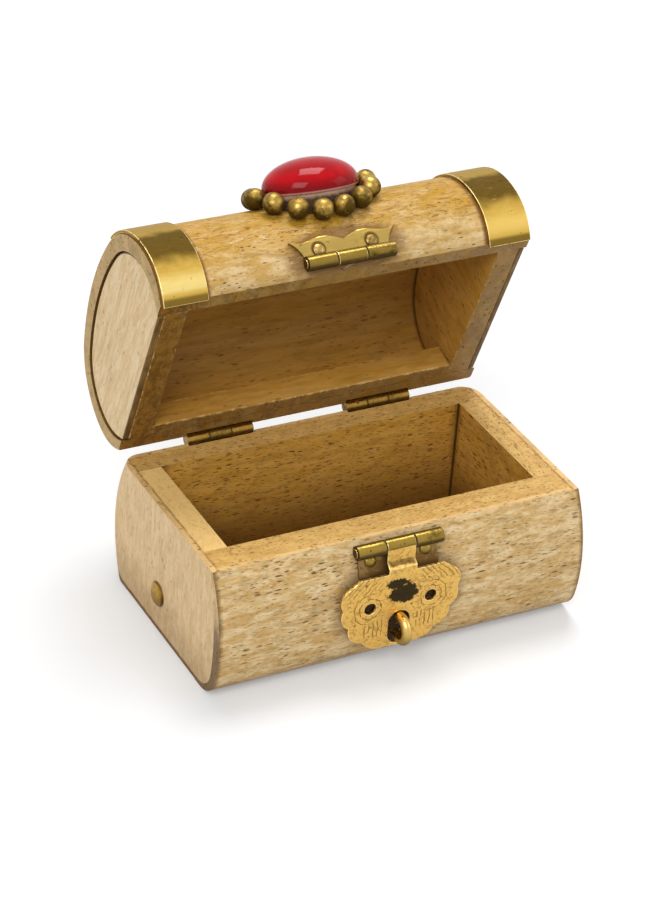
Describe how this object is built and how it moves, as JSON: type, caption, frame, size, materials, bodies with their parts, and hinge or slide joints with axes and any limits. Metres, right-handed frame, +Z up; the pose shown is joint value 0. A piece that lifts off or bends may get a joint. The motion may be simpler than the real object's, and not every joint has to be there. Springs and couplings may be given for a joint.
{
  "type": "treasure chest box",
  "caption": "Small dome-lidded treasure chest box of bone on wood, with brass hinges, corner bands, hasp and staple, and a bead-ringed stone on the lid.",
  "frame": {"origin": "centre of the flat underside", "axes": "+X to the right along the box, +Y to its back where the lid is hinged, +Z up"},
  "size_m": [0.0784, 0.0685, 0.0818],
  "materials": {
    "bone": "polished aged bone with dark flecks; ceramic stands in for bone",
    "core_wood": "waxed yellow-brown wood",
    "lid_wood": "waxed and stained, cream outside and golden brown inside",
    "brass": "aged brass with worn bright edges",
    "red_stone": "polished deep red cabochon",
    "cement": "matt pale setting cement"
  },
  "bodies": {
    "base": {"base_front_board": "core_wood", "base_back_board": "core_wood", "base_left_end_board": "core_wood", "base_right_end_board": "core_wood", "base_floor": "core_wood", "base_front_panel": "bone", "base_back_panel": "bone", "base_left_end_panel": "bone", "base_right_end_panel": "bone", "base_bottom_panel": "bone", "base_end_tacks": "brass", "left_hinge_base_leaf": "brass", "right_hinge_base_leaf": "brass", "left_hinge_pin": "brass", "right_hinge_pin": "brass", "hinge_base_nails": "brass", "hasp_leaf": "brass", "hasp_pin": "brass", "hasp_leaf_nails": "brass", "hasp_staple": "brass"},
    "lid": {"lid_shell": "lid_wood", "lid_back_rail": "core_wood", "lid_left_end_board": "core_wood", "lid_right_end_board": "core_wood", "lid_left_end_panel": "bone", "lid_right_end_panel": "bone", "lid_left_cap": "brass", "lid_right_cap": "brass", "stone_bed": "cement", "stone": "red_stone", "bead_ring": "brass", "catch_plate": "brass", "catch_sleeve": "brass", "catch_pin": "brass", "catch_plate_nails": "brass", "left_hinge_lid_leaf": "brass", "right_hinge_lid_leaf": "brass", "hinge_lid_nails": "brass"},
    "hasp": {"hasp_plate": "brass"}
  },
  "joints": [
    {"name": "lid_hinge", "type": "hinge", "parent": "base", "child": "lid", "pos_m": [0, 0.02165, 0.02685], "axis": [-1, 0, 0], "range_deg": [-68, 42]},
    {"name": "hasp_hinge", "type": "hinge", "parent": "base", "child": "hasp", "pos_m": [-0.0016, -0.02292, 0.0255], "axis": [-1, 0, 0], "range_deg": [0, 70]}
  ]
}
